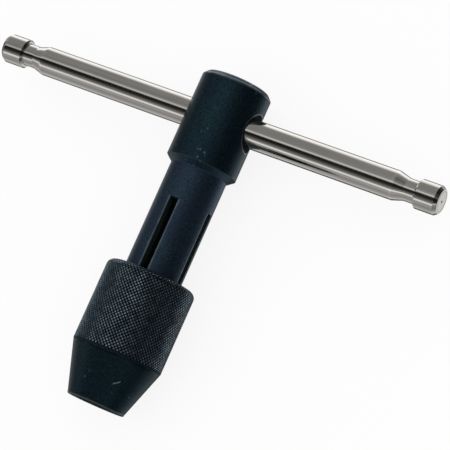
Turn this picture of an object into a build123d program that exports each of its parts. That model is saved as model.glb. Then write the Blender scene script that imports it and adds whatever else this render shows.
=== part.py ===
from build123d import *
import os

# Chuck-type tap wrench with a sliding T-bar, in millimetres.
#
# The wrench lies flat: +X runs along the sliding bar, +Y runs up the tap axis
# from the jaws to the head, +Z is up. The origin is on the tap axis in the
# plane of the jaw tips, where the tap enters.

# ---- body: head and neck -------------------------------------------------
head_r = 9.77            # plain round head
head_top = 91.6          # top face of the head
head_chamfer = 1.2       # 45 degree chamfer round the top face
head_low = 67.1          # lower edge of the head's cylinder
neck_r = 7.87            # neck and threaded shank, an M16 x 1.5 turned size
neck_top = 65.5          # where the head's lower chamfer meets the neck

# ---- cross bore for the bar ----------------------------------------------
bar_axis_y = 80.1        # height of the bar above the jaw tips
bar_r = 4.0              # 8 mm bar
bore_clear = 0.06        # radial running clearance
sink_r = 5.4             # rim of the 90 degree countersink at the head's crown

# ---- jaws ----------------------------------------------------------------
slot_w = 2.4             # two crossed saw slots make four jaws
slot_root = 56.2         # closed end of the slots
jaw_bore_r = 4.2         # gripping bore with the jaws open
grip_len = 15.0          # length of the gripping bore
relief_r = 5.2           # wider bore behind the grip, for the tap's shank
bore_end = 57.6          # straight end of the relief bore
cone_tan = 0.25          # closing cone, radius gained per mm of length
tip_r = 5.3              # outer radius at the jaw tips
jaw_nose_r = 7.3         # plain nose of the jaws above the closing cone
thread_low = 14.0        # lower end of the shank's thread

# ---- chuck nut -----------------------------------------------------------
nut_r = 12.34            # over the knurl
nut_low = -0.8           # nose face, just proud of the jaw tips
nut_top = 35.9           # top face
nut_top_round = 1.9      # round of the top edge
cone_top = 13.1          # where the knurl meets the nose cone
nose_r = 8.02            # nose cone at its small end
nose_round = 0.74        # rounding of the nose edge
mouth_r = 5.6            # opening that the tap passes through
thread_clear = 0.08      # radial clearance of the plain cylinders that stand for the thread

# ---- closing ring --------------------------------------------------------
ring_low = 0.9
ring_high = 5.0
ring_r = 7.5
ring_gap = 0.10          # gap to the jaws' cone when they are just free

# ---- sliding bar ---------------------------------------------------------
bar_half = 66.2          # half length
bar_rest = -1.6          # centre of the bar when the wrench is set down
knob_len = 6.6           # end collar, the same diameter as the bar
groove_len = 3.15        # straight part of the stop groove
taper_len = 3.15         # ramp from the groove back to the bar
groove_r = 3.05
end_chamfer_r = 0.7
end_chamfer_x = 1.0
knob_edge = 0.4

# ---- detent in the head --------------------------------------------------
ball_r = 1.25
ball_hole_r = 1.32
ball_y = bar_axis_y + bar_r + ball_r + 0.02
screw_hole_r = 2.0       # M4 grub screw
screw_r = 1.97
screw_low = 89.05
screw_high = 91.45
spring_r = 0.85          # mean coil radius
spring_wire_r = 0.16

os.makedirs("parts", exist_ok=True)

# ---- wrench body: head, neck and the closed root of the slots -------------
with BuildPart() as wrench_body:
    with BuildSketch(Plane.XY):
        with BuildLine():
            Polyline(
                (relief_r, slot_root),
                (neck_r, slot_root),
                (neck_r, neck_top),
                (head_r, head_low),
                (head_r, head_top - head_chamfer),
                (head_r - head_chamfer, head_top),
                (0, head_top),
                (0, bore_end + relief_r * 0.6),
                (relief_r, bore_end),
                close=True,
            )
        make_face()
    revolve(axis=Axis.Y)
    # cross bore with a 90 degree countersink at each end
    with BuildSketch(Plane.XY):
        with BuildLine():
            bore = bar_r + bore_clear
            Polyline(
                (-12.0, bar_axis_y),
                (12.0, bar_axis_y),
                (12.0, bar_axis_y + sink_r + (12.0 - head_r)),
                (head_r - (sink_r - bore), bar_axis_y + bore),
                (-(head_r - (sink_r - bore)), bar_axis_y + bore),
                (-12.0, bar_axis_y + sink_r + (12.0 - head_r)),
                close=True,
            )
        make_face()
    revolve(axis=Axis((0, bar_axis_y, 0), (1, 0, 0)), mode=Mode.SUBTRACT)
    # stepped hole for the ball, its spring and the grub screw
    with BuildSketch(Plane.XY):
        with BuildLine():
            Polyline(
                (0, bar_axis_y),
                (ball_hole_r, bar_axis_y),
                (ball_hole_r, screw_low - 0.15),
                (screw_hole_r, screw_low - 0.15),
                (screw_hole_r, head_top - 0.3),
                (screw_hole_r + 0.6, head_top + 0.3),
                (0, head_top + 0.3),
                close=True,
            )
        make_face()
    revolve(axis=Axis.Y, mode=Mode.SUBTRACT)
wrench_body.part.label = "wrench_body"
export_step(wrench_body.part, "parts/wrench_body.step")

# ---- four spring jaws ------------------------------------------------------
# Each is the quarter of the slotted shank between two saw slots, from the
# slots' closed end to the tip. Its outer cone meets the closing ring.
cone_end = (jaw_nose_r - tip_r) / cone_tan
for number, (side_x, side_z) in enumerate(((1, 1), (-1, 1), (-1, -1), (1, -1)), 1):
    with BuildPart() as jaw:
        with BuildSketch(Plane.XY):
            with BuildLine():
                Polyline(
                    (jaw_bore_r, 0),
                    (tip_r, 0),
                    (jaw_nose_r, cone_end),
                    (jaw_nose_r, thread_low - 0.57),
                    (neck_r, thread_low),
                    (neck_r, slot_root),
                    (relief_r, slot_root),
                    (relief_r, grip_len + 1.0),
                    (jaw_bore_r, grip_len),
                    close=True,
                )
            make_face()
        revolve(axis=Axis.Y)
        with Locations((side_x * (slot_w / 2 + 10), slot_root / 2, side_z * (slot_w / 2 + 10))):
            Box(20, slot_root + 10, 20, mode=Mode.INTERSECT)
    jaw.part.label = f"jaw_{number}"
    export_step(jaw.part, f"parts/jaw_{number}.step")

# ---- chuck nut --------------------------------------------------------------
nut_bore_r = neck_r + thread_clear
with BuildPart() as chuck_nut:
    with BuildSketch(Plane.XY):
        with BuildLine():
            Line((mouth_r + 0.3, nut_low), (nose_r - nose_round, nut_low))
            ThreePointArc(
                (nose_r - nose_round, nut_low),
                (nose_r - nose_round * 0.25, nut_low + nose_round * 0.25),
                (nose_r, nut_low + nose_round),
            )
            Line((nose_r, nut_low + nose_round), (nut_r, cone_top))
            Line((nut_r, cone_top), (nut_r, nut_top - nut_top_round))
            RadiusArc(
                (nut_r, nut_top - nut_top_round),
                (nut_r - nut_top_round, nut_top),
                -nut_top_round,
            )
            Polyline(
                (nut_r - nut_top_round, nut_top),
                (nut_bore_r + 0.3, nut_top),
                (nut_bore_r, nut_top - 0.3),
                (nut_bore_r, 33.6),
                (nut_bore_r + 0.45, 33.15),
                (nut_bore_r + 0.45, 32.0),
                (nut_bore_r, 31.55),
                (nut_bore_r, 16.5),
                (nut_bore_r + 0.45, 16.05),
                (nut_bore_r + 0.45, 6.0),
                (ring_r + 0.05, 5.2),
                (ring_r + 0.05, ring_low - 0.05),
                (mouth_r, ring_low - 0.05),
                (mouth_r, nut_low + 0.3),
                (mouth_r + 0.3, nut_low),
            )
        make_face()
    revolve(axis=Axis.Y)
chuck_nut.part.label = "chuck_nut"
export_step(chuck_nut.part, "parts/chuck_nut.step")

# ---- closing ring -----------------------------------------------------------
with BuildPart() as taper_ring:
    with BuildSketch(Plane.XY):
        with BuildLine():
            inner_low = tip_r + cone_tan * ring_low + ring_gap
            inner_high = tip_r + cone_tan * ring_high + ring_gap
            Polyline(
                (inner_low, ring_low),
                (ring_r - 0.25, ring_low),
                (ring_r, ring_low + 0.25),
                (ring_r, ring_high - 0.25),
                (ring_r - 0.25, ring_high),
                (inner_high, ring_high),
                close=True,
            )
        make_face()
    revolve(axis=Axis.Y)
taper_ring.part.label = "taper_ring"
export_step(taper_ring.part, "parts/taper_ring.step")

# ---- sliding bar ------------------------------------------------------------
with BuildPart() as tommy_bar:
    with BuildSketch(Plane((bar_rest, bar_axis_y, 0))):
        with BuildLine():
            shoulder = bar_half - knob_len
            ramp = shoulder - groove_len
            Polyline(
                (0, 0),
                (bar_half - 0.35, 0),
                (bar_half, 0.4),
                (bar_half, bar_r - end_chamfer_r),
                (bar_half - end_chamfer_x, bar_r),
                (shoulder + knob_edge, bar_r),
                (shoulder, bar_r - knob_edge),
                (shoulder, groove_r),
                (ramp, groove_r),
                (ramp - taper_len, bar_r),
                (0, bar_r),
                close=True,
            )
        make_face()
        mirror(about=Plane.YZ)
    revolve(axis=Axis((0, bar_axis_y, 0), (1, 0, 0)))
tommy_bar.part.label = "tommy_bar"
export_step(tommy_bar.part, "parts/tommy_bar.step")

# ---- detent ball ------------------------------------------------------------
with BuildPart() as detent_ball:
    with Locations((0, ball_y, 0)):
        Sphere(ball_r)
detent_ball.part.label = "detent_ball"
export_step(detent_ball.part, "parts/detent_ball.step")

# ---- detent spring: open coil between the ball's crown and the screw ---------
with BuildPart() as detent_spring:
    coil_low = ball_y + (ball_r**2 - spring_r**2) ** 0.5 + spring_wire_r + 0.06
    coil_high = screw_low - spring_wire_r - 0.03
    with BuildLine():
        coil = Helix(
            pitch=(coil_high - coil_low) / 4.0,
            height=coil_high - coil_low,
            radius=spring_r,
            center=(0, coil_low, 0),
            direction=(0, 1, 0),
        )
    with BuildSketch(Plane(origin=coil @ 0, z_dir=coil % 0)):
        Circle(spring_wire_r)
    sweep(path=coil, is_frenet=True)
detent_spring.part.label = "detent_spring"
export_step(detent_spring.part, "parts/detent_spring.step")

# ---- detent grub screw, with its hexagon socket ------------------------------
with BuildPart() as detent_screw:
    with BuildSketch(Plane.XY):
        with BuildLine():
            Polyline(
                (0, screw_low),
                (screw_r - 0.3, screw_low),
                (screw_r, screw_low + 0.3),
                (screw_r, screw_high - 0.25),
                (screw_r - 0.25, screw_high),
                (0, screw_high),
                close=True,
            )
        make_face()
    revolve(axis=Axis.Y)
    with BuildSketch(Plane(origin=(0, screw_high, 0), z_dir=(0, 1, 0))):
        RegularPolygon(radius=1.0, side_count=6, major_radius=False)
    extrude(amount=-1.4, mode=Mode.SUBTRACT)
detent_screw.part.label = "detent_screw"
export_step(detent_screw.part, "parts/detent_screw.step")
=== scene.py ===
"""Tap wrench: the looks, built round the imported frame. Lengths are in mm in the mesh code and in metres in the scene."""

import math

import bpy
import numpy as np
from mathutils import Matrix, Vector


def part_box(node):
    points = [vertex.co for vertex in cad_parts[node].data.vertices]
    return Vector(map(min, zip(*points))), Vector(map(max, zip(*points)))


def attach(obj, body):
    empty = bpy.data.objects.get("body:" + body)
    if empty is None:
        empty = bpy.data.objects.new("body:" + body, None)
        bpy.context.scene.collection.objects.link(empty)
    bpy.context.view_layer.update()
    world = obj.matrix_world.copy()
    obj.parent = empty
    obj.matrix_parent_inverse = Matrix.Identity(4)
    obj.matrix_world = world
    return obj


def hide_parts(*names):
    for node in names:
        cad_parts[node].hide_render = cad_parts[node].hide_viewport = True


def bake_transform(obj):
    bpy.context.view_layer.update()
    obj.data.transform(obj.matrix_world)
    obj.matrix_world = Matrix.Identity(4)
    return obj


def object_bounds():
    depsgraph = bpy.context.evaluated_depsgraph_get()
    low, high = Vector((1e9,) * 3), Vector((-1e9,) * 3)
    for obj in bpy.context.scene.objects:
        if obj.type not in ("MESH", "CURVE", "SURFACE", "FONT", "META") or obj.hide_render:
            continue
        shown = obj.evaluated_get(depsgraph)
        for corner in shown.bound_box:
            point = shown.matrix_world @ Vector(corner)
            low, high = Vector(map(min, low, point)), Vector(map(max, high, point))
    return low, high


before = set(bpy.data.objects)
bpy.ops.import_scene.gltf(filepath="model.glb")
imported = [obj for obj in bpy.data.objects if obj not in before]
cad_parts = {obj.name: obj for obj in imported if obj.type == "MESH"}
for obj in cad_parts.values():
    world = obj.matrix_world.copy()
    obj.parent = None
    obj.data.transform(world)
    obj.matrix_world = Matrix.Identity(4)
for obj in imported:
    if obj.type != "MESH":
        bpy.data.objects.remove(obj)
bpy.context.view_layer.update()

MM = 0.001
TAU = 2 * math.pi


def box_mm(node):
    lo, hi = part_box(node)
    return np.array(lo) / MM, np.array(hi) / MM


body_lo, body_hi = box_mm("wrench_body")
nut_lo, nut_hi = box_mm("chuck_nut")
bar_lo, bar_hi = box_mm("tommy_bar")

# ---------------------------------------------------------------- dimensions
HEAD_R = body_hi[0]
HEAD_TOP = body_hi[1]
SLOT_ROOT = body_lo[1]
HEAD_CHAMFER = 1.2
HEAD_LOW = 67.1
NECK_R = 7.87
NECK_TOP = 65.5
BAR_Y = (bar_lo[1] + bar_hi[1]) / 2
BAR_R = (bar_hi[2] - bar_lo[2]) / 2
BORE_R = BAR_R + 0.06
SINK_R = 5.4
SLOT = 2.4
JAW_BORE_R = 4.2
GRIP_LEN = 15.0
RELIEF_R = 5.2
BORE_END = 57.6
TIP_R = 5.3
JAW_NOSE_R = 7.3
CONE_END = 8.0
THREAD_LOW = 14.0
NUT_R = nut_hi[0]
NUT_LOW = nut_lo[1]
NUT_TOP = nut_hi[1]
NUT_ROUND = 1.9
CONE_TOP = 13.1
NOSE_R = 8.02
NOSE_ROUND = 0.74
MOUTH_R = 5.6
NUT_BORE_R = NECK_R + 0.08
RING_R, RING_LOW, RING_HIGH = 7.5, 0.9, 5.0
BALL_HOLE_R = 1.32
SCREW_HOLE_R = 2.0
SCREW_LOW = 89.05


# ---------------------------------------------------------------- mesh kit
class Surface:
    """Collects quads and triangles with their corner normals, and welds them."""

    def __init__(self):
        self.p, self.n, self.tag = [], [], []

    def grid(self, P, N, tag=0.0):
        """P and N are (m, n, 3); tag is a number or an (m, n) array of wear."""
        P, N = np.asarray(P, float), np.asarray(N, float)
        T = np.broadcast_to(np.asarray(tag, float), P.shape[:2])
        q = lambda A: np.stack(
            [A[:-1, :-1], A[1:, :-1], A[1:, 1:], A[:-1, 1:]], 2
        ).reshape(-1, 4, *A.shape[2:])
        self.faces(q(P), q(N), q(T))

    def faces(self, P, N, T):
        """P, N are (faces, corners, 3) and T is (faces, corners)."""
        a, b = P[:, 1] - P[:, 0], P[:, 2] - P[:, 0]
        g = np.cross(a, b)
        if P.shape[1] == 4:
            g = g + np.cross(P[:, 2] - P[:, 0], P[:, 3] - P[:, 0])
        turn = np.einsum("ij,ij->i", g, N.mean(1)) < 0
        P, N, T = P.copy(), N.copy(), T.copy()
        P[turn], N[turn], T[turn] = P[turn][:, ::-1], N[turn][:, ::-1], T[turn][:, ::-1]
        self.p.append(P), self.n.append(N), self.tag.append(T)

    def mesh(self, name):
        counts = np.concatenate([np.full(len(p), p.shape[1]) for p in self.p])
        P = np.concatenate([p.reshape(-1, 3) for p in self.p])
        N = np.concatenate([n.reshape(-1, 3) for n in self.n])
        T = np.concatenate([t.reshape(-1) for t in self.tag])
        step = 2e-4
        label = np.arange(len(P))
        groups = []
        for shift in (0.0, 0.5):
            key = np.floor(P / step + shift).astype(np.int64)
            groups.append(np.unique(key, axis=0, return_inverse=True)[1].reshape(-1))
        for _ in range(4):
            for g in groups:
                low = np.full(g.max() + 1, len(P), np.int64)
                np.minimum.at(low, g, label)
                label = low[g]
        first, ids = np.unique(label, return_inverse=True)
        verts = P[first] * MM
        wear = np.zeros(len(first))
        np.maximum.at(wear, ids, T)
        starts = np.concatenate([[0], np.cumsum(counts)[:-1]])
        faces, normals = [], []
        seen = set()
        for s, c in zip(starts.tolist(), counts.tolist()):
            loop, keep = [], []
            for k in range(s, s + c):
                v = int(ids[k])
                if v not in loop:
                    loop.append(v)
                    keep.append(k)
            key = tuple(sorted(loop))
            if len(loop) > 2 and key not in seen:
                seen.add(key)
                faces.append(loop)
                normals.extend(keep)
        me = bpy.data.meshes.new(name)
        me.from_pydata(verts.tolist(), [], faces)
        me.polygons.foreach_set("use_smooth", [True] * len(me.polygons))
        NN = N[normals]
        NN /= np.maximum(np.linalg.norm(NN, axis=1, keepdims=True), 1e-9)
        me.normals_split_custom_set(NN.tolist())
        attribute = me.attributes.new("wear", "FLOAT", "POINT")
        attribute.data.foreach_set("value", wear.astype(np.float32))
        me.update()
        return me


def show(name, surface, materials, body=None, nodes=(), pick=None):
    """pick gives each face's material from its centre and normal, as arrays in mm."""
    o = bpy.data.objects.new(name, surface.mesh(name))
    bpy.context.scene.collection.objects.link(o)
    for m in materials:
        o.data.materials.append(m)
    if pick:
        count = len(o.data.polygons)
        centre, normal = np.zeros(count * 3), np.zeros(count * 3)
        o.data.polygons.foreach_get("center", centre)
        o.data.polygons.foreach_get("normal", normal)
        index = pick(centre.reshape(-1, 3) / MM, normal.reshape(-1, 3))
        o.data.polygons.foreach_set("material_index", index.astype(np.int32))
    if body:
        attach(o, body)
    if nodes:
        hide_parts(*nodes)
    return o


def profile(points, radii=None, closed=False, step=None, arc=6):
    """Edges (p0, n0, p1, n1, wear) of a polyline with rounded corners.
    The outside lies to the right of the direction of travel. radii maps a corner's index to its radius."""
    pts = [np.array(p, float) for p in points]
    radii = radii or {}
    count = len(pts)
    legs = count if closed else count - 1
    enter, leave, arcs = {}, {}, {}
    for i in range(count):
        enter[i] = leave[i] = pts[i]
        r = radii.get(i, 0)
        if not r or (not closed and i in (0, count - 1)):
            continue
        a, b, c = pts[i - 1], pts[i], pts[(i + 1) % count]
        u, v = (a - b) / np.linalg.norm(a - b), (c - b) / np.linalg.norm(c - b)
        half = math.acos(max(-1, min(1, float(u @ v)))) / 2
        d = r / math.tan(half)
        centre = b + (u + v) / np.linalg.norm(u + v) * r / math.sin(half)
        enter[i], leave[i] = b + u * d, b + v * d
        s, e = enter[i] - centre, leave[i] - centre
        total = math.atan2(s[0] * e[1] - s[1] * e[0], float(s @ e))
        n = max(3, int(arc * abs(total) / (math.pi / 2) + 0.5))
        ring = []
        for k in range(n + 1):
            t = total * k / n
            ring.append(
                np.array(
                    [
                        s[0] * math.cos(t) - s[1] * math.sin(t),
                        s[0] * math.sin(t) + s[1] * math.cos(t),
                    ]
                )
            )
        sign = 1 if total > 0 else -1
        arcs[i] = [
            (centre + ring[k], sign * ring[k] / r, centre + ring[k + 1], sign * ring[k + 1] / r, 1.0 if sign > 0 else 0.0)
            for k in range(n)
        ]
    edges = []
    for i in range(legs):
        j = (i + 1) % count
        a, b = leave[i], enter[j]
        length = np.linalg.norm(b - a)
        if length > 1e-6:
            t = (b - a) / length
            nrm = np.array([t[1], -t[0]])
            parts = max(1, int(math.ceil(length / step - 1e-9))) if step else 1
            cuts = {k / parts for k in range(parts + 1)}
            if length > 1.2:
                cuts |= ({0.22 / length} if i in arcs else set()) | ({1 - 0.22 / length} if j in arcs else set())
            cuts = sorted(cuts)
            for f0, f1 in zip(cuts[:-1], cuts[1:]):
                edges.append((a + (b - a) * f0, nrm, a + (b - a) * f1, nrm, 0.0))
        if j in arcs:
            edges.extend(arcs[j])
    return edges


def lathe(surface, edges, segments, axis="y", at=0.0, skip=None):
    """Turns profile edges (radius, height) about Y, or about X at height `at`."""
    t = np.arange(segments + 1) * TAU / segments
    t[-1] = 0.0
    c, s = np.cos(t), np.sin(t)
    for p0, n0, p1, n1, wear in edges:
        P, N = [], []
        for p, n in ((p0, n0), (p1, n1)):
            r, h, nr, nh = max(p[0], 0.0), p[1], n[0], n[1]
            if axis == "y":
                P.append(np.stack([r * c, np.full_like(c, h), r * s], 1))
                N.append(np.stack([nr * c, np.full_like(c, nh), nr * s], 1))
            else:
                P.append(np.stack([np.full_like(c, h), at + r * c, r * s], 1))
                N.append(np.stack([np.full_like(c, nh), nr * c, nr * s], 1))
        P, N = np.array(P), np.array(N)
        if skip is None:
            surface.grid(P, N, wear)
            continue
        hold = skip(p0, p1, t[:-1] + math.pi / segments)
        q = lambda A: np.stack([A[0, :-1], A[1, :-1], A[1, 1:], A[0, 1:]], 1)[~hold]
        if (~hold).any():
            surface.faces(q(P), q(N), np.full(((~hold).sum(), 4), wear))


def unit(A):
    return A / np.maximum(np.linalg.norm(A, axis=-1, keepdims=True), 1e-12)


# ---------------------------------------------------------------- materials
def mat(name):
    m = bpy.data.materials.new(name)
    m.use_nodes = True
    nt = m.node_tree
    nt.nodes.clear()
    out = nt.nodes.new("ShaderNodeOutputMaterial")
    bsdf = nt.nodes.new("ShaderNodeBsdfPrincipled")
    nt.links.new(bsdf.outputs[0], out.inputs[0])
    return m, nt, bsdf


class Tree:
    """Short calls for building a node tree."""

    def __init__(self, nt):
        self.nt = nt

    def _in(self, socket, value):
        if isinstance(value, bpy.types.NodeSocket):
            self.nt.links.new(value, socket)
        else:
            socket.default_value = value

    def coord(self):
        return self.nt.nodes.new("ShaderNodeTexCoord").outputs["Object"]

    def scaled(self, vector, scale, turn=(0, 0, 0), shift=(0, 0, 0)):
        n = self.nt.nodes.new("ShaderNodeMapping")
        self._in(n.inputs["Vector"], vector)
        n.inputs["Location"].default_value = shift
        n.inputs["Rotation"].default_value = turn
        n.inputs["Scale"].default_value = scale
        return n.outputs[0]

    def noise(self, vector, scale, detail=2.0, rough=0.5, distort=0.0):
        n = self.nt.nodes.new("ShaderNodeTexNoise")
        self._in(n.inputs["Vector"], vector)
        n.inputs["Scale"].default_value = scale
        n.inputs["Detail"].default_value = detail
        n.inputs["Roughness"].default_value = rough
        n.inputs["Distortion"].default_value = distort
        return n.outputs["Fac"] if "Fac" in n.outputs else n.outputs[0]

    def voronoi(self, vector, scale):
        n = self.nt.nodes.new("ShaderNodeTexVoronoi")
        self._in(n.inputs["Vector"], vector)
        n.inputs["Scale"].default_value = scale
        return n.outputs["Distance"]

    def ramp(self, value, stops, mode="LINEAR"):
        n = self.nt.nodes.new("ShaderNodeValToRGB")
        self._in(n.inputs["Fac"], value)
        n.color_ramp.interpolation = mode
        e = n.color_ramp.elements
        while len(e) > 1:
            e.remove(e[-1])
        for k, (pos, col) in enumerate(stops):
            item = e[0] if k == 0 else e.new(pos)
            item.position = pos
            col = (col, col, col) if isinstance(col, (int, float)) else col
            item.color = (*col, 1.0)
        return n.outputs["Color"]

    def span(self, value, a, b, c=0.0, d=1.0):
        n = self.nt.nodes.new("ShaderNodeMapRange")
        self._in(n.inputs["Value"], value)
        for key, v in (("From Min", a), ("From Max", b), ("To Min", c), ("To Max", d)):
            n.inputs[key].default_value = v
        return n.outputs[0]

    def math(self, op, a, b=0.0, c=0.0):
        n = self.nt.nodes.new("ShaderNodeMath")
        n.operation = op
        self._in(n.inputs[0], a)
        self._in(n.inputs[1], b)
        if op in ("MULTIPLY_ADD",):
            self._in(n.inputs[2], c)
        return n.outputs[0]

    def mix(self, fac, a, b, mode="MIX"):
        n = self.nt.nodes.new("ShaderNodeMix")
        n.data_type = "RGBA"
        n.blend_type = mode
        self._in(n.inputs[0], fac)
        colours = [s for s in n.inputs if s.type == "RGBA"]
        for s, v in zip(colours, (a, b)):
            self._in(s, v if isinstance(v, bpy.types.NodeSocket) else (*v, 1.0))
        return [s for s in n.outputs if s.type == "RGBA"][0]

    def attribute(self, name):
        n = self.nt.nodes.new("ShaderNodeAttribute")
        n.attribute_name = name
        return n.outputs["Fac"]

    def bump(self, height, strength, distance, normal=None):
        n = self.nt.nodes.new("ShaderNodeBump")
        self._in(n.inputs["Height"], height)
        n.inputs["Strength"].default_value = strength
        n.inputs["Distance"].default_value = distance
        if normal is not None:
            self._in(n.inputs["Normal"], normal)
        return n.outputs[0]

    def xyz(self, vector):
        n = self.nt.nodes.new("ShaderNodeSeparateXYZ")
        self._in(n.inputs[0], vector)
        return n.outputs[0], n.outputs[1], n.outputs[2]


def black_oxide(name, tone, rough=(0.30, 0.46), crest=False, depth=1.0, scratch=None):
    """Black oxide on turned steel: a cold blue-green black, grainy, lighter where edges rub."""
    m, nt, bsdf = mat(name)
    t = Tree(nt)
    co = t.coord()
    wear = t.attribute("wear")
    grain = t.noise(co, 2300.0, 4.0, 0.7)
    pits = t.noise(t.scaled(co, (1.0, 1.0, 1.0), shift=(0.2, 0.5, 0.1)), 4600.0, 2.0, 0.6)
    cloud = t.noise(co, 95.0, 4.0, 0.6)
    turned = t.noise(t.scaled(co, (160.0, 4200.0, 160.0)), 1.0, 2.0, 0.5)
    dark = tuple(0.38 * c for c in tone)
    light = tuple(1.90 * c for c in tone)
    speckle = t.math("ADD", t.math("MULTIPLY", grain, 0.55), t.math("MULTIPLY", pits, 0.45))
    base = t.mix(t.span(speckle, 0.39, 0.61), dark, light)
    blue = (tone[0] * 1.15, tone[1] * 0.92, tone[2] * 1.22)
    base = t.mix(t.span(cloud, 0.42, 0.70, 0.0, 0.6), base, blue)
    specks = t.span(t.voronoi(t.scaled(co, (1.0, 1.0, 1.0), shift=(0.013, 0.002, 0.007)), 560.0), 0.20, 0.09)
    sparse = t.span(t.noise(t.scaled(co, (1.0, 1.0, 1.0), shift=(0.3, 0.1, 0.2)), 170.0, 2.0, 0.6), 0.58, 0.66)
    base = t.mix(t.math("MULTIPLY", t.math("MULTIPLY", specks, sparse), 0.8), base, (0.19, 0.23, 0.26))
    if crest:
        # the crests of the knurl are rubbed nearly bare, some more than others
        some = t.noise(co, 640.0, 2.0, 0.6)
        rub = t.math("MULTIPLY", t.span(wear, 0.62, 1.0), t.span(some, 0.34, 0.68, 0.25, 1.0))
        base = t.mix(rub, base, (0.280, 0.365, 0.420))
    else:
        rub = t.math("MULTIPLY", t.span(wear, 0.0, 1.0), t.span(t.noise(co, 420.0, 3.0, 0.6), 0.30, 0.70, 0.35, 1.0))
        base = t.mix(t.math("MULTIPLY", rub, 0.90), base, (0.290, 0.310, 0.330))
    if scratch:
        # one short scratch, from its start to its end, in metres
        start, end = Vector(scratch[0]), Vector(scratch[1])
        off = nt.nodes.new("ShaderNodeVectorMath")
        off.operation = "SUBTRACT"
        nt.links.new(co, off.inputs[0])
        off.inputs[1].default_value = (start + end) / 2
        along = nt.nodes.new("ShaderNodeVectorMath")
        along.operation = "DOT_PRODUCT"
        nt.links.new(off.outputs[0], along.inputs[0])
        along.inputs[1].default_value = (end - start).normalized()
        far = nt.nodes.new("ShaderNodeVectorMath")
        far.operation = "LENGTH"
        nt.links.new(off.outputs[0], far.inputs[0])
        a, d = along.outputs["Value"], far.outputs["Value"]
        beside = t.math("SQRT", t.math("MAXIMUM", t.math("SUBTRACT", t.math("MULTIPLY", d, d), t.math("MULTIPLY", a, a)), 0.0))
        half = (end - start).length / 2
        line = t.math("MULTIPLY", t.span(beside, 0.00024, 0.00008), t.span(t.math("ABSOLUTE", a), half, half * 0.75))
        base = t.mix(t.math("MULTIPLY", line, t.span(grain, 0.30, 0.55, 0.45, 1.0)), base, (0.30, 0.33, 0.33))
    nt.links.new(base, bsdf.inputs["Base Color"])
    shine = t.span(t.math("ADD", t.math("MULTIPLY", speckle, 0.6), t.math("MULTIPLY", cloud, 0.4)), 0.38, 0.62, rough[0], rough[1])
    nt.links.new(t.math("SUBTRACT", shine, t.math("MULTIPLY", rub, 0.07)), bsdf.inputs["Roughness"])
    bsdf.inputs["Metallic"].default_value = 1.0 if crest else 0.92
    bsdf.inputs["IOR"].default_value = 1.45
    first = t.bump(speckle, 0.35 * depth, 0.00010)
    nt.links.new(t.bump(turned, 0.20 * depth, 0.00004, first), bsdf.inputs["Normal"])
    return m


def soot(name):
    """The walls of the slots and bores, where the oxide is left dull and oily."""
    m, nt, bsdf = mat(name)
    t = Tree(nt)
    co = t.coord()
    grain = t.noise(co, 1500.0, 4.0, 0.7)
    saw = t.noise(t.scaled(co, (300.0, 5000.0, 300.0)), 1.0, 2.0, 0.5)
    base = t.mix(t.span(grain, 0.36, 0.64), (0.0055, 0.0115, 0.0115), (0.0135, 0.0255, 0.0260))
    nt.links.new(base, bsdf.inputs["Base Color"])
    nt.links.new(t.span(saw, 0.35, 0.65, 0.55, 0.72), bsdf.inputs["Roughness"])
    bsdf.inputs["IOR"].default_value = 1.33
    bsdf.inputs["Specular IOR Level"].default_value = 0.15
    nt.links.new(t.bump(saw, 0.3, 0.00004), bsdf.inputs["Normal"])
    return m


def nickel(name):
    """Bright nickel plate over a drawn bar, with faint lengthwise streaks."""
    m, nt, bsdf = mat(name)
    t = Tree(nt)
    co = t.coord()
    streak = t.noise(t.scaled(co, (30.0, 2400.0, 2400.0)), 1.0, 3.0, 0.6)
    fine = t.noise(t.scaled(co, (120.0, 9000.0, 9000.0)), 1.0, 2.0, 0.5)
    cloud = t.noise(co, 90.0, 3.0, 0.55)
    wear = t.attribute("wear")
    base = t.mix(t.span(streak, 0.3, 0.7), (0.60, 0.575, 0.535), (0.74, 0.715, 0.675))
    base = t.mix(t.span(cloud, 0.45, 0.75, 0.0, 0.35), base, (0.52, 0.505, 0.465))
    base = t.mix(t.math("MULTIPLY", wear, 0.45), base, (0.82, 0.80, 0.77))
    nt.links.new(base, bsdf.inputs["Base Color"])
    bsdf.inputs["Metallic"].default_value = 1.0
    nt.links.new(t.span(t.math("ADD", t.math("MULTIPLY", streak, 0.6), t.math("MULTIPLY", cloud, 0.4)), 0.32, 0.68, 0.055, 0.12), bsdf.inputs["Roughness"])
    first = t.bump(streak, 0.10, 0.00003)
    nt.links.new(t.bump(fine, 0.06, 0.00001, first), bsdf.inputs["Normal"])
    return m


def ground_steel(name, tone=(0.50, 0.51, 0.53), rough=(0.20, 0.34), along="y"):
    m, nt, bsdf = mat(name)
    t = Tree(nt)
    co = t.coord()
    scale = (300.0, 9000.0, 300.0) if along == "y" else (2500.0, 2500.0, 2500.0)
    lines = t.noise(t.scaled(co, scale), 1.0, 3.0, 0.6)
    cloud = t.noise(co, 300.0, 3.0, 0.55)
    base = t.mix(t.span(lines, 0.3, 0.7), tuple(0.8 * c for c in tone), tone)
    base = t.mix(t.span(cloud, 0.45, 0.75, 0.0, 0.4), base, tuple(0.62 * c for c in tone))
    nt.links.new(base, bsdf.inputs["Base Color"])
    bsdf.inputs["Metallic"].default_value = 1.0
    nt.links.new(t.span(lines, 0.3, 0.7, rough[0], rough[1]), bsdf.inputs["Roughness"])
    nt.links.new(t.bump(lines, 0.15, 0.00002), bsdf.inputs["Normal"])
    return m


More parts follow.
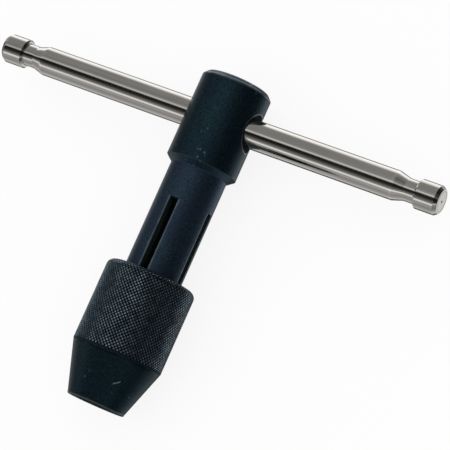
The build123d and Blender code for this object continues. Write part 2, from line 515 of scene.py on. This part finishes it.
HEAD_BLACK = black_oxide("black_oxide_head", (0.0150, 0.0370, 0.0490), (0.28, 0.40), depth=0.7)
NECK_BLACK = black_oxide("black_oxide_neck", (0.0345, 0.0630, 0.0940), (0.32, 0.45))
def on_cone(part, turn):
    """A point on the nut's nose cone in metres: the part of the way up it, and degrees round from the bar."""
    h = NUT_LOW + (CONE_TOP - NUT_LOW) * part
    foot = NUT_LOW + NOSE_ROUND
    r = NOSE_R + (NUT_R - NOSE_R) * (h - foot) / (CONE_TOP - foot)
    a = math.radians(turn)
    return (r * math.cos(a) / 1000, h / 1000, r * math.sin(a) / 1000)


CONE_BLACK = black_oxide("black_oxide_cone", (0.0125, 0.0330, 0.0440), (0.28, 0.40), depth=0.7, scratch=(on_cone(0.45, 55), on_cone(0.55, 45)))
KNURL_BLACK = black_oxide("black_oxide_knurl", (0.0185, 0.0355, 0.0465), (0.22, 0.32), crest=True)
SOOT = soot("black_oxide_bore")
NICKEL = nickel("nickel_plate")
GROUND = ground_steel("ground_steel")
SPRING = ground_steel("spring_wire", (0.36, 0.36, 0.37), (0.28, 0.42), "all")
BALL = ground_steel("ball_steel", (0.58, 0.58, 0.60), (0.08, 0.16), "all")

# ---------------------------------------------------------------- head and neck
SEG = 256
head = Surface()
outer = profile(
    [
        (RELIEF_R, SLOT_ROOT),
        (NECK_R, SLOT_ROOT),
        (NECK_R, NECK_TOP),
        (HEAD_R, HEAD_LOW),
        (HEAD_R, BAR_Y - 8.0),
    ],
    {2: 0.35, 3: 0.16},
)
outer = [(p0, n0, p1, n1, 0.12 * w) for p0, n0, p1, n1, w in outer]
lathe(head, outer, SEG)
upper = profile(
    [
        (HEAD_R, BAR_Y + 8.0),
        (HEAD_R, HEAD_TOP - HEAD_CHAMFER),
        (HEAD_R - HEAD_CHAMFER, HEAD_TOP),
        (SCREW_HOLE_R + 0.3, HEAD_TOP),
        (SCREW_HOLE_R, HEAD_TOP - 0.3),
        (SCREW_HOLE_R, SCREW_LOW - 0.15),
    ],
    {1: 0.50, 2: 0.45, 3: 0.10},
)
lathe(head, upper, SEG)
# the bore behind the jaws, closed by the drill's cone
inner = profile(
    [
        (0.0, BORE_END + RELIEF_R * 0.6),
        (RELIEF_R, BORE_END),
        (RELIEF_R, SLOT_ROOT),
    ],
)
lathe(head, inner, SEG)
# the band with the cross bore: plain quads, with a round patch at +X and -X
rows = 32
band_y = np.linspace(BAR_Y - 8.0, BAR_Y + 8.0, rows + 1)
t = np.arange(SEG + 1) * TAU / SEG
eighth = SEG // 8
for k0, k1 in ((eighth, SEG // 2 - eighth), (SEG // 2 + eighth, SEG - eighth)):
    tt = t[k0 : k1 + 1]
    c, s = np.cos(tt)[None, :], np.sin(tt)[None, :]
    yy = band_y[:, None]
    P = np.stack([HEAD_R * c + 0 * yy, yy + 0 * c, HEAD_R * s + 0 * yy], -1)
    N = np.stack([c + 0 * yy, 0 * yy + 0 * c, s + 0 * yy], -1)
    head.grid(P, N)
# patch boundary, walked round in (angle, height above the bore's axis)
corner = math.pi / 4
side = eighth
bound = []
angles = np.arange(-side, side + 1) * TAU / SEG
heights = np.linspace(-8.0, 8.0, rows + 1)
bound += [(a, -8.0) for a in angles[:-1]]
bound += [(corner, h) for h in heights[:-1]]
bound += [(a, 8.0) for a in angles[::-1][:-1]]
bound += [(-corner, h) for h in heights[::-1][:-1]]
bound = np.array(bound + bound[:1])
M = len(bound)
alpha = np.arctan2(bound[:, 1], HEAD_R * np.sin(bound[:, 0]))


def sink_rim(extra=0.0):
    """The rim of the countersink on the head, offset outward along the surface by extra."""
    rho = np.full(M, SINK_R)
    for _ in range(60):
        xr = np.sqrt(HEAD_R**2 - (rho * np.cos(alpha)) ** 2)
        rho = SINK_R - (HEAD_R - xr)
    return rho + extra


def on_head(rho):
    z = rho * np.cos(alpha)
    xr = np.sqrt(HEAD_R**2 - z**2)
    P = np.stack([xr, BAR_Y + rho * np.sin(alpha), z], -1)
    N = np.stack([xr, 0 * xr, z], -1) / HEAD_R
    return P, N


def on_cone(rho):
    xr = HEAD_R - SINK_R + rho
    P = np.stack([xr + 0 * alpha, BAR_Y + rho * np.sin(alpha), rho * np.cos(alpha)], -1)
    k = math.sqrt(0.5)
    N = np.stack([k + 0 * alpha, -k * np.sin(alpha), -k * np.cos(alpha)], -1)
    return P, N


soft = 0.16
rim = sink_rim()
edge_p, edge_n = on_head(rim + soft)
P_rows, N_rows = [], []
theta_edge = np.arcsin(edge_p[:, 2] / HEAD_R)
h_edge = edge_p[:, 1] - BAR_Y
for k in range(9):
    f = (k / 8) ** 1.3
    th = theta_edge + (bound[:, 0] - theta_edge) * f
    hh = h_edge + (bound[:, 1] - h_edge) * f
    P_rows.append(np.stack([HEAD_R * np.cos(th), BAR_Y + hh, HEAD_R * np.sin(th)], -1))
    N_rows.append(np.stack([np.cos(th), 0 * th, np.sin(th)], -1))
patches = [(np.array(P_rows), np.array(N_rows), 0.0)]
# rounded rim between the head's surface and the cone
a_p, a_n = edge_p, edge_n
c_p, c_n = on_cone(rim - soft)
b_p = on_head(rim)[0]
P_rows, N_rows = [], []
for k in range(6):
    f = k / 5
    P_rows.append((1 - f) ** 2 * a_p + 2 * f * (1 - f) * b_p + f * f * c_p)
    N_rows.append(unit((1 - f) * a_n + f * c_n))
patches.append((np.array(P_rows), np.array(N_rows), 1.0))
# the cone
low = BORE_R + 0.10
P_rows, N_rows = [], []
for k in range(5):
    p, n = on_cone((rim - soft) + (low - (rim - soft)) * k / 4)
    P_rows.append(p), N_rows.append(n)
patches.append((np.array(P_rows), np.array(N_rows), 0.0))
# the bore's softened mouth, then the bore up to the middle of the head
mouth_x = HEAD_R - SINK_R + BORE_R
ring = np.stack([0 * alpha, np.sin(alpha), np.cos(alpha)], -1)
flat = np.stack([np.ones(M), 0 * alpha, 0 * alpha], -1)
axis_point = np.array([0.0, BAR_Y, 0.0])
a_p, a_n = on_cone(np.full(M, low))
b_p = axis_point + ring * BORE_R + flat * mouth_x
c_p = axis_point + ring * BORE_R + flat * (mouth_x - 0.14)
P_rows, N_rows = [], []
for k in range(4):
    f = k / 3
    P_rows.append((1 - f) ** 2 * a_p + 2 * f * (1 - f) * b_p + f * f * c_p)
    N_rows.append(unit((1 - f) * a_n + f * -ring))
patches.append((np.array(P_rows), np.array(N_rows), 0.6))
reach = 2.0
inner_edge = axis_point + ring * BORE_R + flat * reach
patches.append((np.array([c_p, inner_edge]), np.array([-ring, -ring]), 0.0))
for P, N, w in patches:
    head.grid(P, N, w)
    flip = np.array([-1.0, 1.0, 1.0])
    head.grid(P * flip, N * flip, w)
# middle of the bore: a strip each side, and a patch round the ball's hole at the top
order = alpha.copy()
top = (order > math.radians(60)) & (order < math.radians(120))
k_top = np.where(top)[0]
lo_k, hi_k = k_top.min(), k_top.max()
closed = list(range(hi_k, M)) + list(range(1, lo_k + 1))
strip = axis_point + ring[closed] * BORE_R
xs = np.linspace(-reach, reach, 13)
head.grid(
    np.array([strip + np.array([v, 0, 0]) for v in xs]),
    np.array([-ring[closed]] * len(xs)),
)
arc_a = alpha[lo_k : hi_k + 1]
loop = [(a, reach) for a in arc_a[:-1]]
loop += [(arc_a[-1], v) for v in xs[::-1][:-1]]
loop += [(a, -reach) for a in arc_a[::-1][:-1]]
loop += [(arc_a[0], v) for v in xs[:-1]]
loop = np.array(loop + loop[:1])
around = np.arctan2(BORE_R * np.cos(loop[:, 0]), loop[:, 1])
hole = np.stack(
    [BALL_HOLE_R * np.cos(around), np.sqrt(BORE_R**2 - (BALL_HOLE_R * np.sin(around)) ** 2), BALL_HOLE_R * np.sin(around)], -1
)
hole_angle = np.arctan2(hole[:, 1], hole[:, 2])
P_rows, N_rows = [], []
for k in range(5):
    f = k / 4
    aa = hole_angle + (loop[:, 0] - hole_angle) * f
    xx = hole[:, 0] + (loop[:, 1] - hole[:, 0]) * f
    P_rows.append(np.stack([xx, BAR_Y + BORE_R * np.sin(aa), BORE_R * np.cos(aa)], -1))
    N_rows.append(np.stack([0 * aa, -np.sin(aa), -np.cos(aa)], -1))
head.grid(np.array(P_rows), np.array(N_rows))
# the ball's hole up to the step under the screw
step_y = SCREW_LOW - 0.15
up = np.stack([BALL_HOLE_R * np.cos(around), np.full(len(around), step_y), BALL_HOLE_R * np.sin(around)], -1)
wall = np.stack([-np.cos(around), 0 * around, -np.sin(around)], -1)
low_ring = hole + np.array([0, BAR_Y, 0])
head.grid(np.array([low_ring, up]), np.array([wall, wall]))
# the step itself, a flat ring between two circles with different point counts
few, many = np.sort(around[:-1] % TAU), t[:-1]
few, many = np.append(few, few[0] + TAU), np.append(many, TAU)
spot = lambda a, r: (r * math.cos(a), step_y, r * math.sin(a))
i = j = 0
ring_faces = []
while i < len(few) - 1 or j < len(many) - 1:
    if j == len(many) - 1 or (i < len(few) - 1 and few[i + 1] <= many[j + 1]):
        ring_faces.append((spot(few[i], BALL_HOLE_R), spot(few[i + 1], BALL_HOLE_R), spot(many[j], SCREW_HOLE_R)))
        i += 1
    else:
        ring_faces.append((spot(many[j], SCREW_HOLE_R), spot(many[j + 1], SCREW_HOLE_R), spot(few[i], BALL_HOLE_R)))
        j += 1
ring_faces = np.array(ring_faces)
head.faces(ring_faces, np.broadcast_to(np.array([0.0, 1.0, 0.0]), ring_faces.shape), np.zeros(ring_faces.shape[:2]))


def head_regions(c, n):
    index = np.where(c[:, 1] < NECK_TOP + 0.12, 1, 0)
    inner = np.hypot(c[:, 0], c[:, 2]) < NECK_R - 0.2
    index[inner & (c[:, 1] < NECK_TOP)] = 2
    rho = np.hypot(c[:, 1] - BAR_Y, c[:, 2])
    index[(rho < BORE_R + 0.05) & (np.abs(c[:, 0]) < HEAD_R - 1.3)] = 2
    index[(np.abs(np.abs(c[:, 0]) - (HEAD_R - SINK_R) - rho) < 0.02) & (rho < SINK_R + 0.05)] = 2
    index[(np.hypot(c[:, 0], c[:, 2]) < SCREW_HOLE_R + 0.02) & (c[:, 1] > BAR_Y)] = 2
    return index


show("head_and_neck", head, (HEAD_BLACK, NECK_BLACK, SOOT), "body", ("wrench_body",), head_regions)

# ---------------------------------------------------------------- spring jaws
HALF = SLOT / 2
SOFT = 0.20


def jaw_surface(sx, sz):
    s = Surface()
    outer = profile(
        [(TIP_R, 0.0), (JAW_NOSE_R, CONE_END), (JAW_NOSE_R, THREAD_LOW - 0.57), (NECK_R, THREAD_LOW), (NECK_R, SLOT_ROOT)],
        {1: 0.5, 2: 0.1, 3: 0.1},
        step=1.4,
    )
    inner = profile(
        [(RELIEF_R, SLOT_ROOT), (RELIEF_R, GRIP_LEN + 1.0), (JAW_BORE_R, GRIP_LEN), (JAW_BORE_R, 0.0)],
        step=1.4,
    )
    heights = sorted({round(float(p[1]), 6) for e in outer + inner for p in (e[0], e[2])})

    def split(edges):
        out = []
        for p0, n0, p1, n1, w in edges:
            low_y, high_y = sorted((p0[1], p1[1]))
            cuts = [y for y in heights if low_y + 1e-5 < y < high_y - 1e-5]
            if p1[1] < p0[1]:
                cuts = cuts[::-1]
            parts = [0.0] + [(y - p0[1]) / (p1[1] - p0[1]) for y in cuts] + [1.0]
            for f0, f1 in zip(parts[:-1], parts[1:]):
                out.append((p0 + (p1 - p0) * f0, unit(n0 + (n1 - n0) * f0), p0 + (p1 - p0) * f1, unit(n0 + (n1 - n0) * f1), w))
        return out

    outer, inner = split(outer), split(inner)
    turn = np.array([sx, 1.0, sz])

    def put(P, N, w=0.0):
        s.grid(np.asarray(P) * turn, np.asarray(N) * turn, w)

    def arc(r, margin, count=25):
        """Angles from one slot wall to the other at radius r, less a margin along the surface."""
        a = math.asin(HALF / r) + margin / r
        return np.linspace(a, math.pi / 2 - a, count)

    def corner(r, nr, ny, y, near_x):
        """Rounded corner between the outside and the slot's wall."""
        a = math.asin(HALF / r) + SOFT / r
        u = np.array([r * math.cos(a), y, r * math.sin(a)])
        n0 = np.array([nr * math.cos(a), ny, nr * math.sin(a)])
        v = np.array([math.sqrt(r * r - HALF * HALF), y, HALF])
        wpt = np.array([v[0] - SOFT, y, HALF])
        n1 = np.array([0.0, 0.0, -1.0])
        P, N = [], []
        for k in range(5):
            f = k / 4
            P.append((1 - f) ** 2 * u + 2 * f * (1 - f) * v + f * f * wpt)
            N.append(unit((1 - f) * n0 + f * n1))
        P, N = np.array(P), np.array(N)
        if near_x:
            return P, N
        return P[:, ::-1], N[:, ::-1]

    for p0, n0, p1, n1, w in outer:
        P, N = [], []
        for p, n in ((p0, n0), (p1, n1)):
            a = arc(p[0], SOFT)
            P.append(np.stack([p[0] * np.cos(a), 0 * a + p[1], p[0] * np.sin(a)], -1))
            N.append(np.stack([n[0] * np.cos(a), 0 * a + n[1], n[0] * np.sin(a)], -1))
        put(P, N, 0.0)
        for near_x in (True, False):
            A = corner(p0[0], n0[0], n0[1], p0[1], near_x)
            B = corner(p1[0], n1[0], n1[1], p1[1], near_x)
            put([A[0], B[0]], [A[1], B[1]], 0.8)
    for p0, n0, p1, n1, w in inner:
        P, N = [], []
        for p, n in ((p0, n0), (p1, n1)):
            a = arc(p[0], 0.0, 33)
            P.append(np.stack([p[0] * np.cos(a), 0 * a + p[1], p[0] * np.sin(a)], -1))
            N.append(np.stack([n[0] * np.cos(a), 0 * a + n[1], n[0] * np.sin(a)], -1))
        put(P, N)
    # slot walls: from the outside to the bore, on a common set of heights
    ys = heights

    def radius(edges, y):
        for p0, _, p1, _, _ in edges:
            a, b = sorted((p0[1], p1[1]))
            if a - 1e-6 <= y <= b + 1e-6:
                f = 0.0 if abs(p1[1] - p0[1]) < 1e-9 else (y - p0[1]) / (p1[1] - p0[1])
                return p0[0] + (p1[0] - p0[0]) * f
        return NECK_R

    walls, caps = [], {}
    for y in ys:
        ro, ri = radius(outer, y), radius(inner, y)
        far = math.sqrt(ro * ro - HALF * HALF) - SOFT
        near = math.sqrt(ri * ri - HALF * HALF)
        walls.append([[far + (near - far) * k / 3, y, HALF] for k in range(4)])
    walls = np.array(walls)
    normal = np.zeros_like(walls)
    normal[..., 2] = -1.0
    put(walls, normal)
    put(walls[..., ::-1], normal[..., ::-1])
    # ends
    for y, sign in ((0.0, -1.0), (SLOT_ROOT, 1.0)):
        ro, ri = radius(outer, y), radius(inner, y)
        ca = corner(ro, 1.0, 0.0, y, True)[0][::-1]
        cb = corner(ro, 1.0, 0.0, y, False)[0]
        a = arc(ro, SOFT)
        line = np.concatenate([ca, np.stack([ro * np.cos(a), 0 * a + y, ro * np.sin(a)], -1)[1:-1], cb])
        b = np.linspace(math.asin(HALF / ri), math.pi / 2 - math.asin(HALF / ri), len(line))
        back = np.stack([ri * np.cos(b), 0 * b + y, ri * np.sin(b)], -1)
        n = np.zeros((4, len(line), 3))
        n[..., 1] = sign
        put([line + (back - line) * k / 3 for k in range(4)], n)
    return s


def jaw_regions(c, n):
    flank = (np.minimum(np.abs(c[:, 0]), np.abs(c[:, 2])) < HALF + 0.002) & (np.abs(n[:, 1]) < 0.5)
    radial = (c[:, 0] * n[:, 0] + c[:, 2] * n[:, 2]) / np.maximum(np.hypot(c[:, 0], c[:, 2]), 1e-6)
    return np.where(flank | (radial < -0.2), 1, 0)


for number, (sx, sz) in enumerate(((1, 1), (-1, 1), (-1, -1), (1, -1)), 1):
    piece = show(f"spring_jaw_{number}", jaw_surface(sx, sz), (NECK_BLACK, SOOT), None, (f"jaw_{number}",), jaw_regions)
    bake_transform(piece)

# ---------------------------------------------------------------- chuck nut
nut = Surface()
STARTS = 74
PER = 4
COLS = STARTS * PER
PITCH = TAU * NUT_R / STARTS
DEPTH = 0.17
FLAT = 1 / 4
KNURL_LOW = CONE_TOP - 1.1
ARC_TOP = NUT_TOP - 0.42  # the knurl fades out on the rounded edge below this
slope = (NUT_R - NOSE_R) / (CONE_TOP - (NUT_LOW + NOSE_ROUND))


def nut_outline(arc_len):
    """Radius, height and unit normal at a length along the outline, measured up from the cone's top; negative lengths go down the cylinder's line."""
    straight = NUT_TOP - NUT_ROUND - CONE_TOP
    out = []
    for s in np.atleast_1d(arc_len):
        if s <= straight:
            out.append((NUT_R, CONE_TOP + s, 1.0, 0.0))
        else:
            a = (s - straight) / NUT_ROUND
            out.append((NUT_R - NUT_ROUND + NUT_ROUND * math.cos(a), NUT_TOP - NUT_ROUND + NUT_ROUND * math.sin(a), math.cos(a), math.sin(a)))
    return np.array(out)


quarter = NUT_ROUND * math.pi / 2
length_up = (NUT_TOP - NUT_ROUND - CONE_TOP) + quarter
row_step = PITCH / PER
rows_down = int(math.ceil((CONE_TOP - KNURL_LOW) / row_step))
rows_up = int(round(length_up / row_step))
stretch = length_up / (rows_up * row_step)
s_rows = np.concatenate([np.arange(-rows_down, 0) * row_step, np.arange(rows_up + 1) * row_step * stretch])
j_rows = np.arange(-rows_down, rows_up + 1)
outline = nut_outline(s_rows)
fade_from = length_up - 2.2
fade = np.clip((length_up - 0.55 - s_rows) / (length_up - 0.55 - fade_from), 0.0, 1.0)
fade = np.where(s_rows < fade_from, 1.0, fade) ** 0.7
i_cols = np.arange(COLS + 1)


def groove(i, j):
    """Depth below the crest, 0 to 1, at column i and row j."""
    da = np.abs(((i + j) / PER + 0.5) % 1.0 - 0.5)
    db = np.abs(((i - j) / PER + 0.5) % 1.0 - 0.5)
    d = np.minimum(da, db)
    return 1.0 - np.minimum(d / FLAT, 1.0), da, db


I, J = np.meshgrid(i_cols, j_rows)
g, da, db = groove(I, J)
cut = g * DEPTH * fade[:, None]
r = outline[:, 0][:, None] - outline[:, 2][:, None] * cut
h = outline[:, 1][:, None] - outline[:, 3][:, None] * cut
cone_r = NUT_R + (h - CONE_TOP) * slope
on_cone_side = (s_rows[:, None] <= 1e-9) & (r >= cone_r - 1e-9)
r = np.where(s_rows[:, None] <= 1e-9, np.minimum(r, cone_r), r)
ang = i_cols * TAU / COLS
ang = np.where(i_cols == COLS, 0.0, ang)[None, :]
KP = np.stack([r * np.cos(ang), h, r * np.sin(ang)], -1)
wear_at = np.where(on_cone_side, 0.0, np.clip(1.0 - g, 0.0, 1.0)) * np.clip(fade[:, None] * 1.3, 0.2, 1)
# smooth normals of the plain outline, for what isn't knurled
nslope = math.hypot(1.0, slope)
plain_n = np.where(
    on_cone_side[..., None],
    np.stack([np.cos(ang) / nslope + 0 * r, -slope / nslope + 0 * r, np.sin(ang) / nslope + 0 * r], -1),
    np.stack([outline[:, 2][:, None] * np.cos(ang), outline[:, 3][:, None] + 0 * ang, outline[:, 2][:, None] * np.sin(ang)], -1),
)
cells_i, cells_j = np.meshgrid(np.arange(COLS), np.arange(len(j_rows) - 1))
mid_a = np.abs(((cells_i + j_rows[cells_j] + 1) / PER + 0.5) % 1.0 - 0.5)
mid_b = np.abs(((cells_i - j_rows[cells_j]) / PER + 0.5) % 1.0 - 0.5)
first_family = mid_a <= mid_b
q = lambda A: np.stack([A[:-1, :-1], A[:-1, 1:], A[1:, 1:], A[1:, :-1]], 2)
QP, QN, QW, QC = q(KP), q(plain_n), q(wear_at), q(on_cone_side)
for family, picks in ((True, ((0, 1, 3), (1, 2, 3))), (False, ((0, 1, 2), (0, 2, 3)))):
    chosen = first_family == family
    for pick in picks:
        P = QP[chosen][:, pick]
        N = QN[chosen][:, pick]
        W = QW[chosen][:, pick]
        C = QC[chosen][:, pick].all(1)
        F = unit(np.cross(P[:, 1] - P[:, 0], P[:, 2] - P[:, 0]))
        F = F * np.where(np.einsum("ij,ij->i", F, N.mean(1)) < 0, -1, 1)[:, None]
        out = np.where(C[:, None, None], N, np.repeat(F[:, None, :], 3, 1))
        nut.faces(P, out, W)
# cone, nose and the inside
last_r, last_h = r[0, 0], h[0, 0]
lower = profile(
    [
        (RING_R + 0.05, RING_LOW - 0.05),
        (MOUTH_R, RING_LOW - 0.05),
        (MOUTH_R, NUT_LOW + 0.3),
        (MOUTH_R + 0.3, NUT_LOW),
        (NOSE_R - 0.10, NUT_LOW),
        (NOSE_R, NUT_LOW + 0.62),
        (float(last_r), float(last_h)),
    ],
    {2: 0.12, 3: 0.12, 4: 0.42, 5: 0.45},
)
lower = [(p0, n0, p1, n1, 0.45 * w) for p0, n0, p1, n1, w in lower]
lathe(nut, lower, COLS)
inside = profile(
    [
        (NUT_R - NUT_ROUND, NUT_TOP),
        (NUT_BORE_R + 0.3, NUT_TOP),
        (NUT_BORE_R, NUT_TOP - 0.3),
        (NUT_BORE_R, 33.6),
        (NUT_BORE_R + 0.45, 33.15),
        (NUT_BORE_R + 0.45, 32.0),
        (NUT_BORE_R, 31.55),
        (NUT_BORE_R, 16.5),
        (NUT_BORE_R + 0.45, 16.05),
        (NUT_BORE_R + 0.45, 6.0),
        (RING_R + 0.05, 5.2),
        (RING_R + 0.05, RING_LOW - 0.05),
    ],
    {1: 0.1, 2: 0.1},
)
lathe(nut, inside, COLS)


def nut_regions(c, n):
    r0 = np.hypot(c[:, 0], c[:, 2])
    inner = (c[:, 0] * n[:, 0] + c[:, 2] * n[:, 2]) / np.maximum(r0, 1e-6) < -0.3
    index = np.where(c[:, 1] > KNURL_LOW + 0.02, 0, 1)
    index[inner | (r0 < NUT_BORE_R - 0.02) & (c[:, 1] > 0)] = 2
    index[(n[:, 1] < -0.9) & (c[:, 1] < NUT_LOW + 0.2)] = 2
    return index


show("knurled_nut", nut, (KNURL_BLACK, CONE_BLACK, SOOT), "nut", ("chuck_nut",), nut_regions)

# ---------------------------------------------------------------- sliding bar
bar = Surface()
half = (bar_hi[0] - bar_lo[0]) / 2
mid = (bar_hi[0] + bar_lo[0]) / 2
shoulder = half - 6.6
ramp = shoulder - 3.15
side_pts = [
    (0.0, half - 0.33),
    (0.06, half - 0.33),
    (0.42, half),
    (2.62, half),
    (2.74, half - 0.05),
    (2.86, half),
    (BAR_R - 0.7, half),
    (BAR_R, half - 1.0),
    (BAR_R, shoulder + 0.4),
    (BAR_R - 0.4, shoulder),
    (3.05, shoulder),
    (3.05, ramp),
    (BAR_R, ramp - 3.15),
]
pts = [(r0, -x0) for r0, x0 in side_pts] + [(r0, x0) for r0, x0 in side_pts[::-1]]
radii = {}
soft_at = {2: 0.12, 6: 0.12, 7: 0.14, 8: 0.12, 9: 0.10, 10: 0.16, 11: 0.9, 12: 2.2}
for k, rr in soft_at.items():
    radii[k] = rr
    radii[len(pts) - 1 - k] = rr
edges = profile(pts, radii, arc=8)
edges = [(np.array([p0[0], p0[1] + mid]), n0, np.array([p1[0], p1[1] + mid]), n1, w) for p0, n0, p1, n1, w in edges]
lathe(bar, edges, 128, "x", BAR_Y)
show("sliding_bar", bar, (NICKEL,), "bar", ("tommy_bar",))

# ---------------------------------------------------------------- detent spring
# a coil that stands on the ball and on the screw
spring_lo, spring_hi = box_mm("detent_spring")
WIRE_R = 0.16
COIL_R = (spring_hi[0] - spring_lo[0]) / 2 - WIRE_R
coil_low, coil_high = spring_lo[1] + WIRE_R, spring_hi[1] - WIRE_R
TURNS = 4
steps, round_steps = 40 * TURNS, 12
turn = np.arange(steps + 1) * TAU * TURNS / steps
rise = (coil_high - coil_low) / (TAU * TURNS)
centre_line = np.stack([COIL_R * np.cos(turn), coil_low + rise * turn, COIL_R * np.sin(turn)], 1)
tangent = unit(np.stack([-COIL_R * np.sin(turn), np.full_like(turn, rise), COIL_R * np.cos(turn)], 1))
outward = np.stack([np.cos(turn), 0 * turn, np.sin(turn)], 1)
across = np.cross(tangent, outward)
about = np.arange(round_steps + 1) * TAU / round_steps
about[-1] = 0.0
N = outward[:, None, :] * np.cos(about)[None, :, None] + across[:, None, :] * np.sin(about)[None, :, None]
spring = Surface()
spring.grid(centre_line[:, None, :] + WIRE_R * N, N)
for k, sign in ((0, -1.0), (steps, 1.0)):
    face = np.broadcast_to(tangent[k] * sign, (2, round_steps + 1, 3))
    edge = centre_line[k] + WIRE_R * N[k]
    spring.grid(np.array([edge, np.broadcast_to(centre_line[k], edge.shape)]), face)
coil = show("detent_coil", spring, (SPRING,), None, ("detent_spring",))
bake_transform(coil)

# ---------------------------------------------------------------- the small parts keep their CAD shape
for node, material in (
    ("taper_ring", GROUND),
    ("detent_ball", BALL),
    ("detent_screw", HEAD_BLACK),
):
    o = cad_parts[node]
    if not o.data.materials:
        o.data.materials.append(material)
    for k in range(len(o.material_slots)):
        o.material_slots[k].material = material

# ---------------------------------------------------------------- floor
lo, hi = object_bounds()
floor_z = lo.z
mesh = bpy.data.meshes.new("floor")
w = 1.6
mesh.from_pydata([(-w, -w, floor_z), (w, -w, floor_z), (w, w, floor_z), (-w, w, floor_z)], [], [(0, 1, 2, 3)])
floor = bpy.data.objects.new("floor", mesh)
bpy.context.scene.collection.objects.link(floor)
m, nt, bsdf = mat("floor_paper")
bsdf.inputs["Base Color"].default_value = (0.13, 0.13, 0.13, 1.0)
bsdf.inputs["Emission Color"].default_value = (1.0, 1.0, 1.0, 1.0)
bsdf.inputs["Emission Strength"].default_value = 0.86
bsdf.inputs["Roughness"].default_value = 0.9
bsdf.inputs["Specular IOR Level"].default_value = 0.0
floor.data.materials.append(m)
floor.visible_glossy = False

# ---------------------------------------------------------------- studio light
world = bpy.data.worlds.new("studio")
bpy.context.scene.world = world
world.use_nodes = True
nt = world.node_tree
nt.nodes.clear()
t = Tree(nt)
direction = nt.nodes.new("ShaderNodeTexCoord").outputs["Generated"]
x, y, z = t.xyz(direction)
psi = t.math("ARCTAN2", y, z)
azm = t.math("ARCTAN2", x, z)


def deg(stops):
    return [((a + 180.0) / 360.0, v) for a, v in stops]


# soft boxes and black cards round the bar, by the angle about X
cards = t.ramp(
    t.span(psi, -math.pi, math.pi),
    deg(
        [
            (-180, 0.50),
            (-172, 0.36),
            (-152, 0.36),
            (-138, 0.72),
            (-112, 0.42),
            (-97, 0.34),
            (-80, 0.44),
            (-68, 0.44),
            (-63, 1.10),
            (-56, 1.05),
            (-51, 0.36),
            (-42, 0.20),
            (-30, 0.075),
            (-22, 0.015),
            (-8, 0.008),
            (-4, 0.05),
            (0, 0.58),
            (7, 0.75),
            (12, 0.34),
            (24, 0.27),
            (55, 0.265),
            (80, 0.29),
            (91, 0.75),
            (101, 1.30),
            (122, 1.45),
            (130, 0.60),
            (136, 0.28),
            (148, 0.40),
            (162, 0.72),
            (180, 0.60),
        ]
    ),
)
# the long soft box at the left, the dark side of the room at the right, by the angle about Y
room = t.ramp(
    t.span(azm, -math.pi, math.pi),
    deg(
        [
            (-180, 0.2),
            (-156, 0.2),
            (-144, 0.80),
            (-112, 0.92),
            (-98, 0.95),
            (-60, 0.90),
            (-31, 0.80),
            (-18, 1.12),
            (2, 1.0),
            (22, 0.62),
            (46, 0.22),
            (66, 0.05),
            (112, 0.04),
            (128, 0.6),
            (150, 1.3),
            (168, 1.1),
            (180, 0.2),
        ]
    ),
)
# overhead the room is bright as far as the black card at the right; from below it is bright all round
over = t.ramp(t.span(x, -1.0, 1.0), [(0.0, 1.0), (0.55, 1.0), (0.64, 0.05), (1.0, 0.05)])
walls = t.mix(t.span(y, 0.42, 0.58), room, over)
under = t.ramp(t.span(x, -1.0, 1.0), [(0.0, 0.95), (0.62, 0.95), (0.80, 0.60), (1.0, 0.45)])
walls = t.mix(t.span(y, -0.42, -0.58), walls, under)
pole = t.ramp(t.span(x, -1.0, 1.0), [(0.0, 0.35), (0.025, 0.35), (0.055, 1.0)])
pattern = t.mix(1.0, t.mix(1.0, cards, walls, "MULTIPLY"), pole, "MULTIPLY")
path = nt.nodes.new("ShaderNodeLightPath")
final = t.mix(path.outputs["Is Glossy Ray"], (1.0, 1.0, 1.0), pattern)
background = nt.nodes.new("ShaderNodeBackground")
nt.links.new(final, background.inputs["Color"])
background.inputs["Strength"].default_value = 1.0
out = nt.nodes.new("ShaderNodeOutputWorld")
nt.links.new(background.outputs[0], out.inputs[0])

# ---------------------------------------------------------------- camera
cam = bpy.data.objects.new("camera", bpy.data.cameras.new("camera"))
bpy.context.scene.collection.objects.link(cam)
cam.data.sensor_width = 36.0
cam.data.lens = 182.745
cam.data.clip_start = 0.01
cam.data.clip_end = 10.0
right = Vector((0.86206287, 0.40196076, -0.30866673))
up = Vector((-0.32437267, 0.90557209, 0.27335246))
back = Vector((0.38939694, -0.13552395, 0.91104516))
place = Vector((0.243758, -0.025266, 0.539811))
back = (back + (right - up) * (0.5 / 2284.3)).normalized()
right = (right - back * right.dot(back)).normalized()
up = back.cross(right)
rot = Matrix((right, up, back)).transposed()
cam.matrix_world = Matrix.Translation(place) @ rot.to_4x4()
bpy.context.scene.camera = cam
bpy.context.scene.view_settings.view_transform = "Standard"
